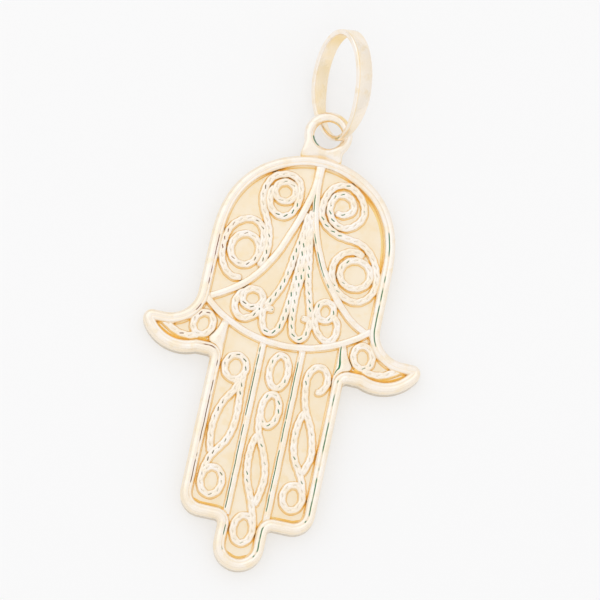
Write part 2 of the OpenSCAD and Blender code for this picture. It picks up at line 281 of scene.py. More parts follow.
# Closed rings: cell, place across and down, half width and half height, lean in degrees
RINGS = [
    (PALM, -0.32, 0.197, 0.113, 0.052, 0),
    (PALM, -0.62, 0.541, 0.155, 0.083, 0),
    (PALM, 0.62, 0.553, 0.167, 0.075, 0),
    (PALM, -0.42, 0.786, 0.112, 0.049, 20),
    (PALM, 0.385, 0.776, 0.092, 0.05, 0),
    (LEFT, -0.05, 0.17, 0.66, 0.068, 0),
    (LEFT, -0.02, 0.81, 0.66, 0.077, 0),
    (MIDDLE, 0.07, 0.117, 0.57, 0.074, 0),
    (MIDDLE, 0.03, 0.291, 0.54, 0.071, 0),
    (MIDDLE, -0.06, 0.826, 0.59, 0.061, 0),
    (RIGHT, 0.12, 0.81, 0.61, 0.07, 0),
    (THUMB, 0.205, 0.53, 0.13, 0.2, 15),
]

# Open wires: cell, then the places that the wire runs through, across and down
WIRES = [
    # upper left swirl and its tail
    (PALM, [(-0.44, 0.175), (-0.475, 0.225), (-0.455, 0.28), (-0.4, 0.312), (-0.31, 0.33),
            (-0.22, 0.312), (-0.165, 0.265), (-0.15, 0.195), (-0.18, 0.135), (-0.265, 0.105),
            (-0.365, 0.105), (-0.475, 0.13), (-0.535, 0.18), (-0.55, 0.24), (-0.52, 0.3),
            (-0.46, 0.355), (-0.41, 0.41), (-0.38, 0.48), (-0.385, 0.55), (-0.43, 0.62)]),
    # lower left swirl
    (PALM, [(-0.45, 0.545), (-0.44, 0.48), (-0.475, 0.415), (-0.575, 0.377), (-0.7, 0.385),
            (-0.81, 0.432), (-0.86, 0.505), (-0.86, 0.575), (-0.83, 0.63), (-0.765, 0.675),
            (-0.675, 0.697), (-0.58, 0.69)]),
    # upper right spiral, which runs on into the lower right swirl
    (PALM, [(0.265, 0.25), (0.37, 0.255), (0.455, 0.22), (0.425, 0.172), (0.34, 0.15),
            (0.25, 0.16), (0.205, 0.2), (0.205, 0.25), (0.265, 0.3), (0.37, 0.324),
            (0.49, 0.305), (0.575, 0.25), (0.565, 0.19), (0.49, 0.135), (0.37, 0.1),
            (0.25, 0.105), (0.165, 0.14), (0.12, 0.2), (0.12, 0.27), (0.19, 0.325),
            (0.32, 0.362), (0.46, 0.375), (0.6, 0.385), (0.72, 0.42), (0.81, 0.48),
            (0.86, 0.545), (0.86, 0.61), (0.8, 0.665), (0.69, 0.695), (0.56, 0.685),
            (0.44, 0.645), (0.37, 0.58), (0.37, 0.51), (0.45, 0.455), (0.57, 0.435),
            (0.68, 0.455)]),
    # the four wires that fan out between the long dividers, with their end loops
    (PALM, [(-0.01, 0.28), (-0.03, 0.4), (-0.075, 0.52), (-0.09, 0.59), (-0.13, 0.68),
            (-0.18, 0.74), (-0.27, 0.82)]),
    (PALM, [(-0.005, 0.37), (0, 0.44), (0.005, 0.52), (0, 0.6), (-0.01, 0.68), (-0.025, 0.76),
            (-0.045, 0.85), (-0.08, 0.92), (-0.155, 0.95), (-0.23, 0.935), (-0.275, 0.88),
            (-0.28, 0.82)]),
    (PALM, [(-0.29, 0.825), (-0.16, 0.823)]),
    (PALM, [(0.025, 0.36), (0.04, 0.44), (0.06, 0.52), (0.05, 0.62), (0.035, 0.72),
            (0.04, 0.81), (0.055, 0.88), (0.085, 0.93), (0.15, 0.952), (0.215, 0.935),
            (0.24, 0.885), (0.245, 0.825)]),
    (PALM, [(0.25, 0.84), (0.135, 0.837)]),
    (PALM, [(0.015, 0.26), (0.035, 0.36), (0.065, 0.45), (0.1, 0.54), (0.13, 0.63),
            (0.165, 0.7), (0.205, 0.765), (0.24, 0.83)]),
    # the curls at the lower corners of the palm
    (PALM, [(-0.32, 0.79), (-0.335, 0.85), (-0.4, 0.885), (-0.5, 0.9), (-0.58, 0.87),
            (-0.6, 0.82), (-0.56, 0.775), (-0.49, 0.755)]),
    (PALM, [(0.47, 0.795), (0.53, 0.82), (0.55, 0.865), (0.53, 0.91), (0.46, 0.93),
            (0.38, 0.91), (0.315, 0.87), (0.285, 0.82), (0.295, 0.77)]),
    # left finger
    (LEFT, [(0.55, 0.17), (0.55, 0.23), (0.6, 0.33), (0.66, 0.42), (0.6, 0.5), (0.38, 0.57),
            (0, 0.625), (-0.35, 0.67), (-0.58, 0.73), (-0.68, 0.79)]),
    (LEFT, [(-0.1, 0.235), (0.25, 0.245), (0.42, 0.225)]),
    (LEFT, [(0.42, 0.24), (0.15, 0.3), (-0.3, 0.365), (-0.58, 0.44), (-0.68, 0.52),
            (-0.6, 0.6), (-0.42, 0.665)]),
    # middle finger
    (MIDDLE, [(-0.51, 0.304), (-0.48, 0.35), (-0.35, 0.4), (-0.035, 0.446), (0.3, 0.502),
              (0.525, 0.557), (0.58, 0.608), (0.47, 0.669), (0.32, 0.72)]),
    (MIDDLE, [(-0.35, 0.4), (-0.56, 0.446), (-0.63, 0.507), (-0.56, 0.567), (-0.37, 0.623),
              (-0.06, 0.674), (0.22, 0.73), (0.45, 0.785), (0.545, 0.831)]),
    # right finger
    (RIGHT, [(0.1, 0.212), (0.42, 0.21), (0.7, 0.175), (0.74, 0.13), (0.52, 0.088),
             (0.12, 0.073), (-0.3, 0.095), (-0.52, 0.145), (-0.5, 0.2), (-0.34, 0.285),
             (-0.08, 0.345), (0.25, 0.4), (0.5, 0.46), (0.68, 0.53), (0.7, 0.58), (0.55, 0.63),
             (0.38, 0.68)]),
    (RIGHT, [(-0.2, 0.325), (-0.42, 0.38), (-0.52, 0.46), (-0.45, 0.54), (-0.2, 0.61),
             (0.15, 0.66), (0.45, 0.71), (0.62, 0.76), (0.7, 0.81)]),
    # thumb
    (THUMB, [(0.22, 0.735), (0.33, 0.785), (0.48, 0.78), (0.6, 0.72), (0.7, 0.64),
             (0.79, 0.575)]),
]

# The two long dividers that part at the top of the palm, in shares of the palm
DIVIDERS = [
    [(-0.008, 0), (-0.002, 0.1), (-0.018, 0.17), (-0.06, 0.255), (-0.12, 0.35), (-0.18, 0.43),
     (-0.24, 0.505), (-0.32, 0.58), (-0.42, 0.652), (-0.55, 0.72), (-0.72, 0.78), (-0.9, 0.83)],
    [(0.02, 0), (0.022, 0.14), (0.055, 0.28), (0.105, 0.375), (0.17, 0.46), (0.245, 0.54),
     (0.33, 0.61), (0.44, 0.68), (0.57, 0.75), (0.72, 0.81), (0.9, 0.855)],
]


# Sections of the raised metal


# The rim's section from the outside in: share of its width, share of its height above the ground,
# how strong the painted shade is, and how much of the painted dark line round the rim is there
RIM_SECTION = [
    (0, 0.25, 0.3, 0),
    (0.005, 0.45, 0.3, 0),
    (0.03, 0.62, 0.25, 0),
    (0.08, 0.76, 0.18, 0),
    (0.15, 0.88, 0.12, 0),
    (0.24, 0.96, 0.06, 0),
    (0.34, 1, 0.02, 0),
    (0.44, 1, 0, 0),
    (0.52, 0.97, 0, 0),
    (0.57, 0.94, 0, 0.05),
    (0.59, 0.92, 0.2, 1),
    (0.64, 0.92, 0.2, 1),
    (0.66, 0.94, 0, 0.05),
    (0.71, 0.95, 0, 0),
    (0.79, 0.93, 0, 0),
    (0.87, 0.84, 0, 0),
    (0.93, 0.7, 0.04, 0),
    (0.97, 0.5, 0.2, 0),
    (1, 0.22, 0.6, 0),
]

# A bar's section from side to side: share of its half width, share of its height, how strong the
# painted shade is, and how much of the painted dark line along the bar is there
BAR_SECTION = [
    (1, 0.26, 0.5, 0),
    (0.97, 0.56, 0.1, 0),
    (0.86, 0.8, 0.02, 0),
    (0.66, 0.93, 0, 0),
    (0.35, 0.99, 0, 0),
    (0, 1, 0, 0),
    (-0.22, 0.98, 0, 0),
    (-0.34, 0.95, 0, 0.05),
    (-0.41, 0.93, 0.2, 1),
    (-0.54, 0.91, 0.2, 1),
    (-0.61, 0.9, 0, 0.05),
    (-0.74, 0.87, 0, 0),
    (-0.87, 0.76, 0.02, 0),
    (-0.97, 0.54, 0.1, 0),
    (-1, 0.26, 0.5, 0),
]

# A twisted wire's section from its middle to its side: share of its half width, share of its
# height, how strong the painted shade is, and how much of the cleft between the strands, painted
# with dark reflection, is there
WIRE_SECTION = [
    (0, 0.98, 0, 1),
    (0.09, 0.98, 0, 1),
    (0.18, 0.99, 0, 0.12),
    (0.32, 1, 0, 0),
    (0.5, 0.98, 0, 0),
    (0.7, 0.92, 0, 0),
    (0.87, 0.78, 0.02, 0),
    (0.965, 0.54, 0.1, 0),
    (1, 0.3, 0.5, 0),
]

# A fillet's section from the foot outwards: shares of its width across and up from the ground, and
# how strong the painted shade in the corner is
FILLET_SECTION = [(0.35, 0.3, 1), (1.2, -0.3, 0.9)]

# Steps round the eyelet's wire, and those where dark reflection is painted in its crease
ROUND_STEPS = 32
CREASE_REFLECTION_STEPS = range(2, 5)

# Steps round each rounded corner of the bail's strip. The corners are counted from the inner upper
# one, and at some of their steps shade is painted on the outer face.
CORNER_STEPS = 6
BAIL_PAINTED_SHADE = {(1, 5): 0.7, (1, 6): 0.12, (2, 0): 0.12}


# Paths


def arc(centre, radius, start, end, steps=24):
    """Points of an arc, from one angle to another in degrees."""
    turns = [math.radians(start + (end - start) * k / steps) for k in range(steps + 1)]
    return [centre + radius * Vector((math.cos(t), math.sin(t))) for t in turns]


def oval(half_width, half_height, steps):
    """Points of an oval about the origin."""
    turns = [2 * math.pi * k / steps for k in range(steps)]
    return [Vector((half_width * math.cos(t), half_height * math.sin(t))) for t in turns]


def smooth(points, steps=12):
    """A smooth curve through listed points."""
    line = []
    last = len(points) - 1
    for i in range(last):
        a, b = points[max(i - 1, 0)], points[i]
        c, d = points[i + 1], points[min(i + 2, last)]
        for k in range(steps):
            t = k / steps
            bend = (2 * a - 5 * b + 4 * c - d) * t * t + (3 * b - a - 3 * c + d) * t**3
            line.append((2 * b + (c - a) * t + bend) / 2)
    return line + [points[-1]]


def stations(points, step, closed=False):
    """Even places along a line, each with the direction to its left and its distance run."""
    line = points + points[:1] if closed else points
    ends = [0.0]
    for a, b in zip(line, line[1:]):
        ends.append(ends[-1] + (b - a).length)
    count, tiny = max(4, round(ends[-1] / step)), 1e-12
    places = []
    i = 0
    for k in range(count + 1):
        run = ends[-1] * k / count
        while i < len(line) - 2 and ends[i + 1] < run:
            i += 1
        part = (run - ends[i]) / max(ends[i + 1] - ends[i], tiny)
        places.append((line[i].lerp(line[i + 1], part), run))
    if closed:
        places.pop()
    last = len(places) - 1
    made = []
    for k, (place, run) in enumerate(places):
        before = places[k - 1][0] if closed or k else place
        after = places[(k + 1) % len(places)][0] if closed or k < last else place
        ahead = (after - before).normalized()
        made.append((place, Vector((-ahead.y, ahead.x)), run))
    return made


def outline(hand):
    """The sheet's outline, clockwise from its top, measured from the tops of the dividers."""
    half, fingers, middle = hand.palm_width / 2, hand.fingers_width / 2, hand.middle_width / 2
    dome, dome_steps, notch_steps = [], 48, 8
    for k in range(1, dome_steps + 1):
        turn = math.radians(90 * k / dome_steps)
        across = half * math.sin(turn) ** (2 / hand.dome_top)
        up = (hand.dome_height + hand.dome_rise) * abs(math.cos(turn)) ** (2 / hand.dome_side)
        dome.append(Vector((across, up - hand.dome_height)))
    belly = belly_centre(hand)
    tip_y = -hand.thumb_start - hand.thumb_sweep - hand.thumb_tip
    reach = hand.thumb_belly - hand.thumb_tip
    tip = Vector((belly.x + math.sqrt(reach**2 - (tip_y - belly.y) ** 2), tip_y))
    belly_from = math.degrees(math.atan2(tip.y - belly.y, tip.x - belly.x))
    belly_to = math.degrees(math.asin((hand.thumb_low + belly.y) / hand.thumb_belly)) - 180
    notch, corner = hand.notch_radius, hand.finger_corner
    right = (
        dome
        + arc(Vector((half + hand.thumb_sweep, -hand.thumb_start)), hand.thumb_sweep, 180, 270)
        + arc(tip, hand.thumb_tip, 90, belly_from)
        + arc(belly, hand.thumb_belly, belly_from, belly_to)
        + arc(Vector((fingers + notch, -hand.thumb_low - notch)), notch, 90, 180, notch_steps)
        + arc(Vector((fingers - corner, corner - hand.fingers_reach)), corner, 0, -90)
        + arc(Vector((middle + notch, -hand.fingers_reach - notch)), notch, 90, 180, notch_steps)
        + arc(Vector((0, middle - hand.length)), middle, 0, -90)
    )
    return [Vector((0, hand.dome_rise))] + right + mirrored(reversed(right[:-1]))


def belly_centre(hand):
    """The centre of the right thumb's round underside."""
    past_tip, drop = 0.3 * MM, 1.1 * MM
    return Vector((hand.thumb_span / 2 + past_tip - hand.thumb_belly, -hand.thumb_start - drop))


def spot(settings, cell, share):
    """A share of a cell as a place on the hand, measured from the tops of the dividers."""
    hand, relief = settings.hand, settings.relief
    inner = relief.divider_gap / 2 + relief.bar_width / 2
    outer = hand.fingers_width / 2 + relief.rim_out - relief.rim_width
    finger = (outer + inner) / 2
    x, top, half, end = {
        PALM: (0, 0, hand.palm_width / 2, hand.palm_length),
        LEFT: (-finger, hand.palm_length, (outer - inner) / 2, hand.fingers_reach),
        MIDDLE: (relief.divider_shift, hand.palm_length, inner - relief.bar_width, hand.length),
        RIGHT: (finger, hand.palm_length, (outer - inner) / 2, hand.fingers_reach),
        THUMB: (
            hand.fingers_width / 2,
            hand.thumb_start,
            hand.thumb_span / 2 - hand.fingers_width / 2,
            hand.thumb_low,
        ),
    }[cell]
    return Vector((x + share[0] * half, -top - share[1] * (end - top)))


def mirrored(line):
    """The same line on the other side of the hand."""
    return [Vector((-p.x, p.y)) for p in line]


# Building blocks


def gold_mesh():
    """An empty bmesh whose points say how much shade, reflection and dark line is painted there."""
    bm = bmesh.new()
    for name in ("painted_shade_and_reflection", "line"):
        bm.verts.layers.float.new(name)
    return bm


def sweep(bm, places, section, closed=False):
    """Sweeps a section along stations. A section's points hold across, up, painted shade and
    reflection, and line.
    """
    rings = [section(k) for k in range(len(places))]
    path = list(places)
    if closed:
        rings.append(rings[0])
        path.append(path[0])
    width = len(rings[0])
    tone, dark = bm.verts.layers.float["painted_shade_and_reflection"], bm.verts.layers.float["line"]
    grid = bmesh.ops.create_grid(bm, x_segments=width, y_segments=len(rings) - 1, size=1)["verts"]
    for k, (place, left, _) in enumerate(path):
        for j in range(width + 1):
            across, up, painted_shade_and_reflection, line = rings[k][j % width]
            vert = grid[k * (width + 1) + j]
            vert.co = (*(place + left * across), up)
            vert[tone], vert[dark] = painted_shade_and_reflection, line


def footed(section, relief, wide=FILLET):
    """Adds the fillet of solder, with painted shade, at both feet of a section that stands on the
    ground.
    """
    first, last = section[0][0], section[-1][0]
    made = list(section)
    for across, up, painted_shade_and_reflection in FILLET_SECTION:
        made.insert(0, (first + across * wide, relief.sheet + up * wide, painted_shade_and_reflection, 0))
        made.append((last - across * wide, relief.sheet + up * wide, painted_shade_and_reflection, 0))
    return made


def close_up(bm):
    """Welds seams, fills open ends and turns every face outwards."""
    bmesh.ops.remove_doubles(bm, verts=bm.verts, dist=0.0001 * MM)
    open_ends = [e for e in bm.edges if e.is_boundary]
    bmesh.ops.holes_fill(bm, edges=open_ends, sides=0)
    bmesh.ops.recalc_face_normals(bm, faces=bm.faces)


def piece(name, bm, material, shift, sharp=40):
    """Makes an object of a bmesh, smooth up to an angle in degrees, that rides on the part."""
    bmesh.ops.translate(bm, verts=bm.verts, vec=shift)
    mesh = bpy.data.meshes.new(name)
    bm.to_mesh(mesh)
    bm.free()
    obj = bpy.data.objects.new(name, mesh)
    bpy.context.scene.collection.objects.link(obj)
    mesh.materials.append(material)
    mesh.shade_smooth()
    mesh.set_sharp_from_angle(angle=math.radians(sharp))
    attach(obj, "root")
    return obj


def dividers_top(settings):
    """The place of the tops of the dividers, from the origin on the back."""
    return (0, (settings.hand.length - settings.hand.dome_rise) / 2, 0)


def unevenness(place, size, reach):
    """A small push that makes a line look hand-made, the same on every run."""
    return size * noise.noise(Vector((place.x, place.y, 0)) / reach)


def uneven_height(place, reach):
    """A share just under 1 by which the height of a form varies, as hand work does."""
    return 1 - 0.04 * (0.5 + unevenness(place, 1, reach))


def ease(value, low, high):
    """Rises smoothly from 0 at low to 1 at high."""
    share = min(1, max(0, (value - low) / (high - low)))
    return share * share * (3 - 2 * share)


# Materials


def material(name):
    """A new material, its node tree and its shader."""
    made = bpy.data.materials.new(name)
    made.use_nodes = True
    tree = made.node_tree
    return made, tree, tree.nodes["Principled BSDF"]


def node(tree, kind, **inputs):
    """A node with some of its inputs set."""
    made = tree.nodes.new(kind)
    for key, value in inputs.items():
        made.inputs[key.replace("_", " ")].default_value = value
    return made


def blend(tree, factor, first, second):
    """Mixes two colours by the share that comes from factor. Each is an output or plain values."""
    mix = tree.nodes.new("ShaderNodeMix")
    mix.data_type = "RGBA"
    # The node has sockets of each name for every kind of data. These are the ones for colours.
    share, colours, result = mix.inputs[0], mix.inputs[6:8], mix.outputs[2]
    tree.links.new(factor, share)
    for socket, value in zip(colours, (first, second)):
        if hasattr(value, "is_linked"):
            tree.links.new(value, socket)
        else:
            socket.default_value = (*value, 1)
    return result


def ramp(tree, value, low, high):
    """A share that rises from 0 to 1 as value goes from low to high."""
    made = tree.nodes.new("ShaderNodeMapRange")
    made.interpolation_type = "SMOOTHSTEP"
    made.inputs["From Min"].default_value = low
    made.inputs["From Max"].default_value = high
    tree.links.new(value, made.inputs["Value"])
    return made.outputs["Result"]


def times(tree, first, second):
    """The product of two outputs."""
    made = tree.nodes.new("ShaderNodeMath")
    made.operation = "MULTIPLY"
    tree.links.new(first, made.inputs[0])
    tree.links.new(second, made.inputs[1])
    return made.outputs[0]


def painted(tree, name):
    """A value painted on the points of a mesh."""
    made = tree.nodes.new("ShaderNodeAttribute")
    made.attribute_name = name
    return made.outputs["Fac"]


def speckle(tree, size, detail=3.0):
    """Noise on object coordinates, with specks of about that size."""
    where = tree.nodes.new("ShaderNodeTexCoord")
    made = node(tree, "ShaderNodeTexNoise", Scale=1 / size, Detail=detail)
    tree.links.new(where.outputs["Object"], made.inputs["Vector"])
    return made.outputs["Fac"]


def along(tree, space, axis, low, high):
    """A share that rises from 0 to 1 between two places along an axis."""
    where = tree.nodes.new("ShaderNodeTexCoord")
    split = tree.nodes.new("ShaderNodeSeparateXYZ")
    tree.links.new(where.outputs[space], split.inputs[0])
    return ramp(tree, split.outputs[axis], low, high)


def bump(tree, shader, height, depth, distance):
    """Joins a height to the shader's normal."""
    made = node(tree, "ShaderNodeBump", Strength=depth, Distance=distance)
    tree.links.new(height, made.inputs["Height"])
    tree.links.new(made.outputs["Normal"], shader.inputs["Normal"])


def gold(name, colour, finish, roughness, grain):
    """Gold with painted shade, reflection and patchy dark lines where its points say so, and a fine
    grain.
    """
    made, tree, shader = material(name)
    shader.inputs["Metallic"].default_value = 1.0
    shader.inputs["Roughness"].default_value = roughness
    warm = [a * b for a, b in zip(colour, WARMER)]
    richer = [0.88 * a + 0.12 * b for a, b in zip(warm, finish.painted_shade_and_reflection)]
    patches = ramp(tree, speckle(tree, 1.6 * MM), 0.35, 0.7)
    tone = blend(tree, patches, colour, warm)
    spots = ramp(tree, speckle(tree, 0.6 * MM), 0.48, 0.7)
    tone = blend(tree, spots, tone, richer)
    # Painted shade and warm reflection where the points say so
    tone = blend(tree, painted(tree, "painted_shade_and_reflection"), tone, finish.painted_shade_and_reflection)
    # Painted shade in the faint parts of the fine lines
    faint = blend(tree, ramp(tree, painted(tree, "line"), 0.3, 0.8), tone, finish.faint_line_shade)
    # Painted dark reflection in the fine lines, dark red on the left and dark green on the right,
    # in patches
    to_right = along(tree, "Object", "X", -5 * MM, 0)
    dark = blend(tree, to_right, finish.dark_reflection_left, finish.dark_reflection_right)
    patchy = times(tree, painted(tree, "line"), speckle(tree, 1.1 * MM, 2.0))
    line = blend(tree, ramp(tree, patchy, 0.47, 0.57), faint, dark)
    tree.links.new(line, shader.inputs["Base Color"])
    bump(tree, shader, speckle(tree, grain, 5.0), 0.25, grain * 0.3)
    return made


# Operators, one for each piece or group of like pieces


class HAMSA_OT_ground(bpy.types.Operator):
    """Builds the ground sheet with its bevelled back"""

    bl_idname = "hamsa.ground"
    bl_label = "Ground sheet"

    def execute(self, context):
        settings = context.scene.hamsa
        hand, relief = settings.hand, settings.relief
        inset = relief.back_bevel / 2 - relief.rim_out
        places = stations(outline(hand), GROUND_STEP, closed=True)
        bm = gold_mesh()
        edge = [bm.verts.new((*(place - left * inset), 0)) for place, left, _ in places]
        sheet = bm.faces.new(edge)
        raised = bmesh.ops.extrude_face_region(bm, geom=[sheet], use_keep_orig=True)["geom"]
        verts = [g for g in raised if isinstance(g, bmesh.types.BMVert)]
        bmesh.ops.translate(bm, verts=verts, vec=(0, 0, relief.sheet))
        bmesh.ops.bevel(
            bm,
            geom=list(sheet.edges),
            offset=relief.back_bevel / 2,
            segments=1,
            profile=0.5,
            affect="EDGES",
            material=-1,
        )
        close_up(bm)
        finish = gold("ground_gold", settings.finish.ground, settings.finish, 0.3, 0.05 * MM)
        obj = piece("ground_sheet", bm, finish, dividers_top(settings))
        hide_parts("hamsa_hand")
        return {"FINISHED"}


class HAMSA_OT_rim(bpy.types.Operator):
    """Builds the rim round the hand"""

    bl_idname = "hamsa.rim"
    bl_label = "Rim"

    def execute(self, context):
        settings = context.scene.hamsa
        hand, relief = settings.hand, settings.relief
        places = stations(outline(hand), RIM_STEP, closed=True)
        bevel, out = relief.back_bevel, relief.rim_out
        notch = Vector((-hand.fingers_width / 2, -hand.thumb_low))
        sunk = 0.15 * MM
        # The outer wall, painted with shade
        wall = [
            (out - bevel / 2 - sunk, bevel / 2, 0, 0),
            (out - bevel / 2, bevel / 2, 0.3, 0),
            (out, bevel, 0.35, 0),
            (out, relief.sheet, 0.3, 0),
        ]

        def section(k):
            place, left, _ = places[k]
            line, glow = self.shading(place, left, notch)
            lift = uneven_height(place, 0.9 * MM)
            push = unevenness(place, 0.02 * MM, 0.7 * MM)
            crown = []
            for share, height, painted_shade_and_reflection, lined in RIM_SECTION:
                # A warm reflection painted on the inner foot, where the fillet is also widened
                painted_shade_and_reflection += 0.6 * glow * ease(share, 0.86, 0.97) * (1 - painted_shade_and_reflection)
                free = 4 * share * (1 - share)
                crest = share - CREST_LEAN * left.x * free
                across = out - crest * relief.rim_width + push * free
                up = relief.rim_height * (height * lift - RIM_LINE_DEPTH * lined * line)
                crown.append((across, relief.sheet + up, painted_shade_and_reflection, RIM_LINE_STRENGTH * lined * line))
            fillet = footed(crown, relief, FILLET * (1 + 3 * glow))[-len(FILLET_SECTION) :]
            return wall + crown + fillet

        bm = gold_mesh()
        sweep(bm, places, section, closed=True)
        close_up(bm)
        finish = gold("rim_gold", settings.finish.polished, settings.finish, 0.18, 0.08 * MM)
        piece("rim", bm, finish, dividers_top(settings), sharp=50)
        return {"FINISHED"}

    def shading(self, place, left, notch):
        """How clear the painted dark line round the rim is at a place, and how strong the warm
        reflection painted on its inner foot is.
        """
        down = -place.y
        start = 4.8 * MM if place.x < 0 else 2.6 * MM
        upright = ease(abs(left.x), 0.72, 0.88)
        off_thumb = 1 - ease(abs(place.x), 6 * MM, 6.6 * MM)
        beside = upright * ease(down, start, start + 1 * MM) * off_thumb
        at_notch = 1 - ease((place - notch).length, 0.7 * MM, 1.2 * MM)
        faint = 0.35 * (1 - ease(down, 7 * MM, 9 * MM))
        # The warm reflection lies in the upper right and along the lower edges, whose inner walls
        # face the light above
        upper_right = ease(place.x, 2 * MM, 4 * MM) * (1 - ease(down, 5 * MM, 7 * MM))
        lower_edge = ease(-left.y, 0.5, 0.9)
        return max(beside, at_notch, faint), max(upper_right, lower_edge)


class HAMSA_OT_bars(bpy.types.Operator):
    """Builds the plain bars between the cells"""

    bl_idname = "hamsa.bars"
    bl_label = "Dividing bars"

    def execute(self, context):
        settings = context.scene.hamsa
        hand, relief = settings.hand, settings.relief
        rim_in = relief.rim_width - relief.rim_out
        radius = relief.crossbar_radius
        lines = []
        for row, dark in zip(DIVIDERS, DIVIDER_LINES):
            lines.append((smooth([spot(settings, PALM, share) for share in row]), dark))
        reach = math.degrees(math.asin((hand.palm_width - rim_in) / 2 / radius))
        centre = Vector((0, radius - hand.palm_length))
        lines.append((arc(centre, radius, 270 - reach, 270 + reach, 60), UNLINED))
        for side in (-1, 1):
            x = relief.divider_shift + side * relief.divider_gap / 2
            ends = (-hand.palm_length, rim_in / 2 - hand.fingers_reach)
            lines.append(([Vector((x, y)) for y in ends], FINGER_LINE))
        half = relief.bar_width / 2
        bm = gold_mesh()
        for line, dark in lines:
            places = stations(line, BAR_STEP)
            self.bar(bm, places, lambda place: half, relief, relief.bar_height, dark)
        self.thumb_ends(bm, hand, relief, rim_in)
        close_up(bm)
        finish = gold("bar_gold", settings.finish.polished, settings.finish, 0.18, 0.08 * MM)
        piece("dividing_bars", bm, finish, dividers_top(settings), sharp=50)
        return {"FINISHED"}

    def thumb_ends(self, bm, hand, relief, rim_in):
        """The bars that close the thumbs' cells. Their lower ends run into the fingers' rim."""
        fingers, notch = hand.fingers_width / 2, hand.notch_radius
        side, corner = fingers - rim_in, Vector((fingers + notch, -hand.thumb_low - notch))
        belly, round_end = belly_centre(hand), hand.thumb_belly - THUMB_END_IN
        drop = math.sqrt(relief.crossbar_radius**2 - side**2)
        top = relief.crossbar_radius - hand.palm_length - drop
        high, sunk, steps = 0.9 * relief.rim_height, 0.1 * MM, 24
        for sign, dark in ((1, THUMB_LINE), (-1, UNLINED)):
            places = []
            for k in range(steps + 1):
                y = top + (corner.y - top) * k / steps
                far = belly.x - math.sqrt(max(0, round_end**2 - (y - belly.y) ** 2))
                rim = corner.x - math.sqrt(max(0, (notch + rim_in) ** 2 - (y - corner.y) ** 2))
                middle = Vector((sign * (side + min(far, rim + sunk)) / 2, y))
                places.append((middle, Vector((1, 0)), top - y))
            self.bar(bm, places, lambda place: abs(place.x) - side, relief, high, dark)

    def bar(self, bm, places, half_at, relief, high, dark):
        """One bar along stations, with a fine groove painted with dark reflection between two
        shares of its length.
        """
        length = places[-1][2]

        def section(k):
            place, _, run = places[k]
            lined = BAR_LINE_STRENGTH if dark[0] < run / length < dark[1] else 0
            lift = uneven_height(place, 0.7 * MM)
            lift *= 0.6 + 0.4 * ease(min(run, length - run), 0, 0.25 * MM)
            push = unevenness(place, 0.015 * MM, 0.5 * MM)
            half = half_at(place)
            made = []
            for share, height, painted_shade_and_reflection, line in BAR_SECTION:
                cut = line * lined
                up = high * (height * lift - BAR_LINE_DEPTH * cut)
                # Shade is painted only at the feet and in the fine line
                tone = painted_shade_and_reflection if cut or abs(share) > 0.8 else 0
                made.append((share * half + push, relief.sheet + up, tone, cut))
            return footed(made, relief)

        sweep(bm, places, section)


class HAMSA_OT_wires(bpy.types.Operator):
    """Builds the twisted scroll wires"""

    bl_idname = "hamsa.wires"
    bl_label = "Scroll wires"

    def execute(self, context):
        settings = context.scene.hamsa
        lines = [(row[0], self.ring_line(settings, row), True) for row in RINGS]
        for cell, shares in WIRES:
            lines.append((cell, smooth([spot(settings, cell, share) for share in shares]), False))
        bm = gold_mesh()
        for cell, line, closed in lines:
            self.wire(bm, line, settings.relief, closed)
            if cell == THUMB:
                self.wire(bm, mirrored(line), settings.relief, closed)
        close_up(bm)
        finish = gold("wire_gold", settings.finish.polished, settings.finish, 0.2, 0.08 * MM)
        piece("scroll_wires", bm, finish, dividers_top(settings), sharp=70)
        return {"FINISHED"}

    def ring_line(self, settings, row):
        """The middle line of a closed ring."""
        cell, across, down, wide, high, lean = row
        centre = spot(settings, cell, (across, down))
        size = spot(settings, cell, (across + wide, down - high)) - centre
        turn = Matrix.Rotation(math.radians(lean), 2)
        return [centre + turn @ point for point in oval(size.x, size.y, 48)]

    def wire(self, bm, line, relief, closed):
        """One wire: two strands that lie side by side and cross at every twist."""
        places = stations(line, WIRE_STEP, closed)
        length = places[-1][2] + (places[1][2] if closed else 0)
        turns = max(1, round(length / relief.twist))
        half = relief.wire_width / 2
        profile = WIRE_SECTION[::-1] + [(-share, *rest) for share, *rest in WIRE_SECTION[1:]]

        def section(k):
            place, _, run = places[k]
            phase = math.pi * turns * run / length
            end = 1 if closed else min(1, min(run, length - run) / half * 0.9 + 0.1)
            end = math.sqrt(1 - (1 - end) ** 2)
            apart = ease(abs(math.cos(phase)), 0.45, 0.8) * ease(end, 0.6, 1)
            slant = 0.14 * math.sin(2 * phase)
            lift = 1 + unevenness(place, 0.07, 0.5 * MM)
            swell = 1 + 0.04 * math.cos(2 * phase) + unevenness(place, 0.06, 0.6 * MM)
            # Dark reflection is painted in the clefts where the strands lie apart
            dark = apart * self.boldness(place)
            made = []
            for share, height, painted_shade_and_reflection, cleft in profile:
                across = (share + slant * (1 - share * share)) * half * swell * end
                up = relief.wire_height * (height * lift - CLEFT_DEPTH * cleft * apart) * end
                made.append((across, relief.sheet + up, painted_shade_and_reflection, cleft * dark))
            return footed(made, relief)

        sweep(bm, places, section, closed)

    def boldness(self, place):
        """How strongly dark reflection is painted in the clefts between the strands: bolder in the
        fan, none where it starts.
        """
        off_middle, down = abs(place.x), -place.y
        fan = 1 - ease(off_middle, 1.2 * MM, 2 * MM)
        fan *= ease(down, 2 * MM, 3 * MM) * (1 - ease(down, 11 * MM, 12 * MM))
        bold = 0.98 - 0.12 * ease(place.x, -3 * MM, 3 * MM) + 0.28 * fan
        bold += unevenness(place, 0.35, 0.8 * MM)
        return bold * max(ease(off_middle, 0.5 * MM, 0.8 * MM), ease(down, 4.2 * MM, 4.6 * MM))


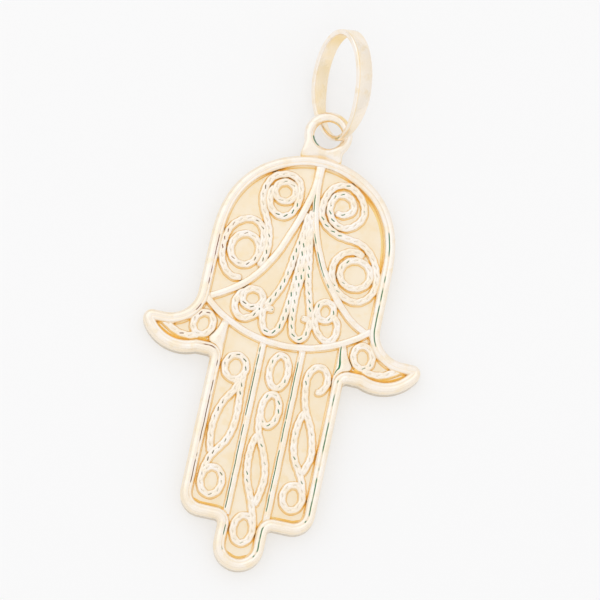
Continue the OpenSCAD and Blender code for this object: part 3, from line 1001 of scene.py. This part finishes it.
class HAMSA_OT_eyelet(bpy.types.Operator):
    """Builds the eyelet and the foot that joins it to the rim"""

    bl_idname = "hamsa.eyelet"
    bl_label = "Eyelet"

    def execute(self, context):
        settings = context.scene.hamsa
        eyelet = settings.eyelet
        thick = eyelet.wire / 2
        places = stations(oval(eyelet.radius, eyelet.radius, 144), EYELET_STEP, closed=True)
        reaches = [self.reach_along(settings, place.normalized()) for place, _, _ in places]
        smoothings, droop = 4, 0.26 * MM
        for _ in range(smoothings):
            rows = zip(reaches[-1:] + reaches[:-1], reaches, reaches[1:] + reaches[:1])
            reaches = [(before + 2 * here + after) / 4 for before, here, after in rows]

        def section(k):
            place = places[k][0]
            out = reaches[k] - eyelet.radius
            square = min(4, 2 + 1.2 * (out / thick - 1))
            low = ease(-place.y, 0.5 * eyelet.radius, eyelet.radius)
            angle = math.degrees(math.atan2(place.y, place.x)) % 360
            # A dark reflection painted low on the left, where the ring's inner edge meets its foot
            crease_reflection = ease(angle, 190, 200) * (1 - ease(angle, 236, 248))
            # Painted reflection: a warm arc on the ring's upper right
            reflection_arc = 0.8 * ease(angle, 30, 42) * (1 - ease(angle, 66, 80))
            made = []
            for step in range(ROUND_STEPS):
                turn = 2 * math.pi * step / ROUND_STEPS
                reach, power = (thick, 1) if math.cos(turn) > 0 else (out, 2 / square)
                across = math.copysign(reach * abs(math.cos(turn)) ** power, math.cos(turn))
                up = math.copysign(thick * abs(math.sin(turn)) ** power, math.sin(turn))
                outwards = -across / out
                drop = droop * ease(-across / max(out, thick), 0, 1) * low
                # Painted shade in the hole and in the crease at the foot's lower end; painted
                # reflection on the outer face
                hole = ease(across, 0.75 * thick, thick) * (1 - ease(up, 0.2 * thick, 0.8 * thick))
                crease = low * ease(outwards, 0.8, 0.97)
                warm = reflection_arc * ease(outwards, 0.1, 0.4) * (1 - ease(outwards, 0.8, 0.95))
                cut = CREASE_REFLECTION_STRENGTH * crease_reflection if step in CREASE_REFLECTION_STEPS else 0
                made.append((across, up - drop + eyelet.height, max(hole, crease, warm), cut))
            return made

        bm = gold_mesh()
        sweep(bm, places, section, closed=True)
        close_up(bm)
        bmesh.ops.translate(bm, verts=bm.verts, vec=(eyelet.shift, eyelet.rise, 0))
        finish = gold("eyelet_gold", settings.finish.polished, settings.finish, 0.18, 0.12 * MM)
        piece("eyelet", bm, finish, dividers_top(settings))
        return {"FINISHED"}

    def reach_along(self, settings, ray):
        """How far the eyelet, or its foot, reaches from the eyelet's centre along a ray."""
        eyelet = settings.eyelet
        reach = eyelet.radius + eyelet.wire / 2
        edge = eyelet.rise - settings.hand.dome_rise - settings.relief.rim_out
        # The foot runs over the edge by this, its end is bent, and it widens close to the edge
        overlap, bend, close_by, step = 0.12 * MM, 0.1, 0.16 * MM, 0.01 * MM
        if ray.y > -0.2:
            return reach
        while True:
            across, down = abs(ray.x * reach + eyelet.lean), -ray.y * reach
            base = edge + overlap + bend * across**2 / MM
            flare = math.exp((min(down, edge) - edge) / close_by)
            if down > base or across > (eyelet.neck + (eyelet.foot - eyelet.neck) * flare) / 2:
                return reach
            reach += step


class HAMSA_OT_bail(bpy.types.Operator):
    """Builds the flat oval bail"""

    bl_idname = "hamsa.bail"
    bl_label = "Bail"

    def execute(self, context):
        settings = context.scene.hamsa
        bail = settings.bail
        wall, corner, top = bail.wall, 0.38 * bail.wall, bail.length / 2
        places = stations(oval(bail.width / 2, top, 200), BAIL_STEP, closed=True)

        def section(k):
            place = places[k][0]
            share = min(place.y / top + 1, 1)
            wide = bail.narrow + (bail.wide - bail.narrow) * math.sin(math.pi / 2 * share)
            high, far = wide / 2 - corner, wall - corner
            # Shade painted in patches on the inner face of the loop, stronger at its far end
            inner = 0.42 + unevenness(place, 0.3, 0.8 * MM)
            inner += 0.4 * ease(place.y, 0.7 * top, 0.95 * top)
            painted_shade_at = {(3, 5): inner, (3, 6): inner, (0, 0): inner, **BAIL_PAINTED_SHADE}
            corners = ((far, high), (corner, high), (corner, -high), (far, -high))
            made = []
            for quarter, (across, up) in enumerate(corners):
                for step in range(CORNER_STEPS + 1):
                    turn = math.pi / 2 * (quarter + step / CORNER_STEPS)
                    reach = corner * Vector((math.cos(turn), math.sin(turn)))
                    made.append((across + reach.x, up + reach.y, painted_shade_at.get((quarter, step), 0), 0))
            return made

        bm = gold_mesh()
        sweep(bm, places, section, closed=True)
        close_up(bm)
        pose = (
            Matrix.Translation(bail.place)
            @ Matrix.Rotation(bail.lean, 4, "Z")
            @ Matrix.Rotation(bail.slope, 4, "X")
            @ Matrix.Rotation(bail.turn, 4, "Y")
        )
        bmesh.ops.transform(bm, matrix=pose, verts=bm.verts)
        finish = gold("bail_gold", settings.finish.polished, settings.finish, 0.16, 0.15 * MM)
        obj = piece("bail_ring", bm, finish, dividers_top(settings))
        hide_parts("bail")
        return {"FINISHED"}


class HAMSA_OT_stage(bpy.types.Operator):
    """Builds the pale floor, the studio light and the camera"""

    bl_idname = "hamsa.stage"
    bl_label = "Stage"

    def execute(self, context):
        settings = context.scene.hamsa
        self.floor(settings)
        self.world(context.scene)
        self.light()
        self.camera(context.scene, settings)
        return {"FINISHED"}

    def floor(self, settings):
        """A pale floor that glows a little, as a light table does."""
        half_size, glow = 0.6, 0.46
        bm = bmesh.new()
        bmesh.ops.create_grid(bm, x_segments=8, y_segments=8, size=half_size)
        bmesh.ops.translate(bm, verts=bm.verts, vec=(0, 0, cad_low.z))
        mesh = bpy.data.meshes.new("floor")
        bm.to_mesh(mesh)
        bm.free()
        obj = bpy.data.objects.new("floor", mesh)
        bpy.context.scene.collection.objects.link(obj)
        made, tree, shader = material("floor_paper")
        shader.inputs["Roughness"].default_value = 0.9
        shader.inputs["Specular IOR Level"].default_value = 0.1
        pale = settings.finish.floor
        tone = blend(tree, speckle(tree, 30 * MM, 1.0), pale, [c * 0.985 for c in pale])
        tree.links.new(tone, shader.inputs["Base Color"])
        shader.inputs["Emission Color"].default_value = (1, 1, 1, 1)
        shader.inputs["Emission Strength"].default_value = glow
        mesh.materials.append(made)

    def world(self, scene):
        """A white room that dims a little towards the horizon."""
        world = bpy.data.worlds.new("studio")
        world.use_nodes = True
        tree = world.node_tree
        height = along(tree, "Generated", "Z", 0, 0.6)
        tone = blend(tree, height, (0.86, 0.86, 0.86), (0.98, 0.98, 0.98))
        tree.links.new(tone, tree.nodes["Background"].inputs["Color"])
        scene.world = world
        scene.view_settings.view_transform = "Standard"

    def light(self):
        """A soft box to the upper left."""
        data = bpy.data.lights.new("soft_box", "AREA")
        data.size = 0.3
        data.energy = 0.04
        obj = bpy.data.objects.new("soft_box", data)
        bpy.context.scene.collection.objects.link(obj)
        obj.location = (-0.15, 0.14, 0.24)
        obj.rotation_mode = "QUATERNION"
        obj.rotation_quaternion = (-obj.location).to_track_quat("-Z", "Y")

    def camera(self, scene, settings):
        """Looks down at the pendant as the photograph does, rolled so that it leans right."""
        # Width of what the picture shows, and its middle from the tops of the dividers
        view_width = 36 * MM
        middle = Vector((0.485, -8.75, 1.1)) * MM
        elevation, roll = math.radians(76), math.radians(12.2)
        aim = Vector(dividers_top(settings)) + middle
        back = Vector((0, -math.cos(elevation), math.sin(elevation)))
        up = Vector((0, math.sin(elevation), math.cos(elevation)))
        side = Vector((1, 0, 0))
        across = side * math.cos(roll) + up * math.sin(roll)
        over = up * math.cos(roll) - side * math.sin(roll)
        data = bpy.data.cameras.new("camera")
        data.lens = 200
        data.clip_start, data.clip_end = 0.01, 10
        obj = bpy.data.objects.new("camera", data)
        scene.collection.objects.link(obj)
        away = view_width * data.lens / data.sensor_width
        turn = Matrix((across, over, back)).transposed()
        obj.matrix_world = Matrix.Translation(aim + back * away) @ turn.to_4x4()
        scene.camera = obj


# Panel and registration


OPERATORS = (
    HAMSA_OT_ground,
    HAMSA_OT_rim,
    HAMSA_OT_bars,
    HAMSA_OT_wires,
    HAMSA_OT_eyelet,
    HAMSA_OT_bail,
    HAMSA_OT_stage,
)


class HAMSA_PT_panel(bpy.types.Panel):
    """Lists the steps that build the pendant"""

    bl_idname = "HAMSA_PT_panel"
    bl_label = "Hamsa Pendant"
    bl_space_type = "VIEW_3D"
    bl_region_type = "UI"
    bl_category = "Hamsa"

    def draw(self, context):
        for operator in OPERATORS:
            self.layout.operator(operator.bl_idname)
        settings = context.scene.hamsa
        for name in HamsaSettings.__annotations__:
            group = getattr(settings, name)
            box = self.layout.box()
            for key in type(group).__annotations__:
                box.prop(group, key)


GROUPS = (HandSizes, ReliefSizes, EyeletSizes, BailSizes, Finish, HamsaSettings)
CLASSES = (*GROUPS, *OPERATORS, HAMSA_PT_panel)


def register():
    for cls in CLASSES:
        bpy.utils.register_class(cls)
    bpy.types.Scene.hamsa = PointerProperty(type=HamsaSettings)


def unregister():
    del bpy.types.Scene.hamsa
    for cls in reversed(CLASSES):
        bpy.utils.unregister_class(cls)


def main():
    register()
    for operator in OPERATORS:
        group, name = operator.bl_idname.split(".")
        getattr(getattr(bpy.ops, group), name)()


if __name__ == "__main__":
    main()
